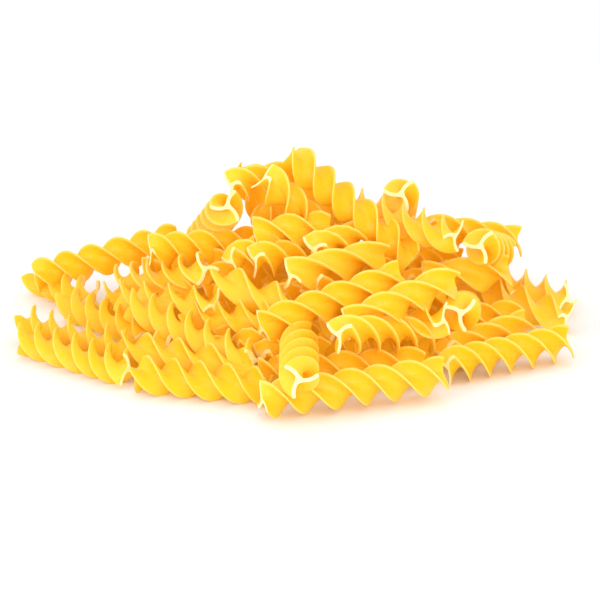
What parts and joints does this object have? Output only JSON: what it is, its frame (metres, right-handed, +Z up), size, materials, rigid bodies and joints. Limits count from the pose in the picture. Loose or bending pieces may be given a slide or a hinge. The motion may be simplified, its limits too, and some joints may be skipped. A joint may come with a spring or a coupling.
{
  "type": "heap of dry fusilli pasta",
  "caption": "Loose heap of dry yellow fusilli lying as poured on a flat surface, the pieces three-bladed and twisted to the right.",
  "frame": {"origin": "middle of the heap's underside, on the surface that it lies on", "axes": "+X along the heap's longest side, to the right as seen from the front; +Z up"},
  "size_m": [0.1385, 0.1251, 0.0442],
  "materials": {
    "pasta": "satin"
  },
  "bodies": {
    "root": {"fusilli_heap": "pasta"}
  },
  "joints": []
}
